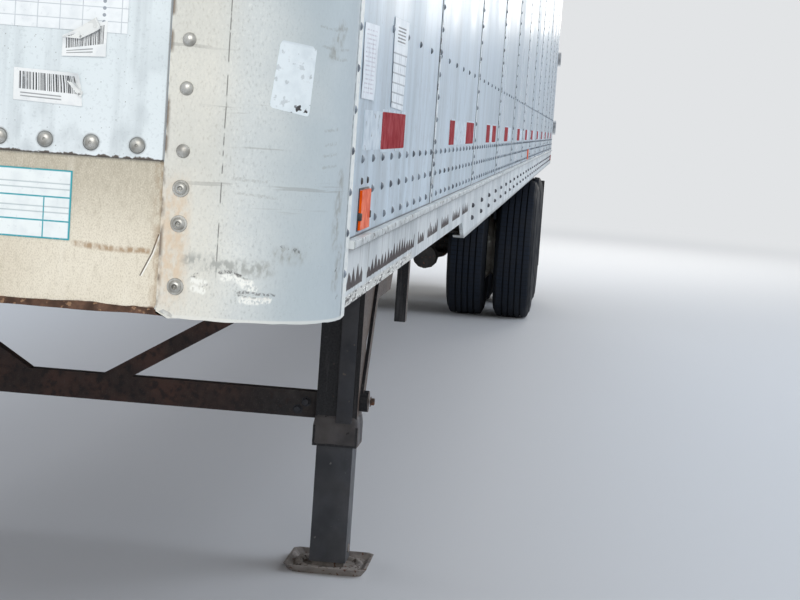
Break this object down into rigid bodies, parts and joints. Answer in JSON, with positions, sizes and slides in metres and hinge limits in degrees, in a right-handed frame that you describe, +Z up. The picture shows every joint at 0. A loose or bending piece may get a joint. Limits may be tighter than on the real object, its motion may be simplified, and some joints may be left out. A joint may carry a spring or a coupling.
{
  "type": "semi trailer",
  "caption": "Enclosed van-body semi trailer of riveted sheet panels on landing legs and a tandem of twin wheels, with swing rear doors.",
  "frame": {"origin": "on the ground, midway between the two ends and on the centre line", "axes": "+X towards the nose, +Y to the trailer's left side, +Z up"},
  "size_m": [14.71, 2.625, 4.1148],
  "materials": {
    "amber_lens": "moulded lens",
    "axle_paint": "dusty black",
    "bare_aluminium": "weathered, semi-matte",
    "black_rubber": "matte",
    "black_steel": "dusty black paint",
    "door_white": "painted plywood and sheet",
    "floor_wood": "worn hardwood",
    "frame_steel": "painted steel",
    "galvanised_steel": "galvanised",
    "leg_paint": "dusty black paint",
    "rail_paint": "worn paint, satin",
    "red_lens": "moulded lens",
    "roof_aluminium": "mill finish",
    "rusty_brace": "rust over black paint",
    "rusty_shoe": "rusty and muddy",
    "rusty_steel": "rusty plate",
    "socket_metal": "cast, weathered",
    "spring_steel": "dusty black",
    "tan_panel": "bare weathered panel, matte",
    "tank_paint": "black paint",
    "tyre": "worn rubber",
    "wheel_paint": "worn white paint",
    "white_paint": "worn white paint",
    "white_sheet": "painted sheet, satin",
    "worn_steel": "worn and greasy"
  },
  "bodies": {
    "trailer": {"air_tanks": "tank_paint", "amber_lamps": "amber_lens", "axles": "axle_paint", "bottom_rails": "rail_paint", "brake_gear": "axle_paint", "corner_posts": "bare_aluminium", "crossmembers": "black_steel", "dock_bumpers": "black_rubber", "equaliser_beams": "black_steel", "floor_boards": "floor_wood", "frame_rails": "black_steel", "front_lower_panel": "tan_panel", "front_wall": "white_sheet", "hinge_lugs": "frame_steel", "kingpin": "worn_steel", "leaf_springs": "spring_steel", "leg_cross_brace": "rusty_brace", "leg_gear": "leg_paint", "leg_housings": "leg_paint", "leg_stays": "leg_paint", "leg_tubes": "worn_steel", "lock_keepers": "galvanised_steel", "mud_flaps": "black_rubber", "rear_frame": "frame_steel", "red_lamps": "red_lens", "roof_bows": "galvanised_steel", "roof_sheet": "roof_aluminium", "sand_shoes": "rusty_shoe", "side_panels_left": "white_sheet", "side_panels_right": "white_sheet", "sockets": "socket_metal", "spring_hangers": "black_steel", "top_rails": "bare_aluminium", "under_run_guard": "white_paint", "upper_coupler": "rusty_steel"},
    "wheels_front_left": {"wheel_front_left": "wheel_paint", "tyres_front_left": "tyre"},
    "wheels_front_right": {"wheel_front_right": "wheel_paint", "tyres_front_right": "tyre"},
    "wheels_rear_left": {"wheel_rear_left": "wheel_paint", "tyres_rear_left": "tyre"},
    "wheels_rear_right": {"wheel_rear_right": "wheel_paint", "tyres_rear_right": "tyre"},
    "rear_door_left": {"door_left": "door_white", "door_fittings_left": "galvanised_steel"},
    "rear_door_right": {"door_right": "door_white", "door_fittings_right": "galvanised_steel"}
  },
  "joints": [
    {"name": "spin_front_left", "type": "hinge", "parent": "trailer", "child": "wheels_front_left", "pos_m": [-4.794, 0.9485, 0.515], "axis": [0, 1, 0], "continuous": true},
    {"name": "spin_front_right", "type": "hinge", "parent": "trailer", "child": "wheels_front_right", "pos_m": [-4.794, -0.9485, 0.515], "axis": [0, 1, 0], "continuous": true},
    {"name": "spin_rear_left", "type": "hinge", "parent": "trailer", "child": "wheels_rear_left", "pos_m": [-6.039, 0.9485, 0.515], "axis": [0, 1, 0], "continuous": true},
    {"name": "spin_rear_right", "type": "hinge", "parent": "trailer", "child": "wheels_rear_right", "pos_m": [-6.039, -0.9485, 0.515], "axis": [0, 1, 0], "continuous": true},
    {"name": "swing_left", "type": "hinge", "parent": "trailer", "child": "rear_door_left", "pos_m": [-7.335, 1.3, 2.6], "axis": [0, 0, -1], "range_deg": [0, 270]},
    {"name": "swing_right", "type": "hinge", "parent": "trailer", "child": "rear_door_right", "pos_m": [-7.335, -1.3, 2.6], "axis": [0, 0, 1], "range_deg": [0, 270]}
  ]
}
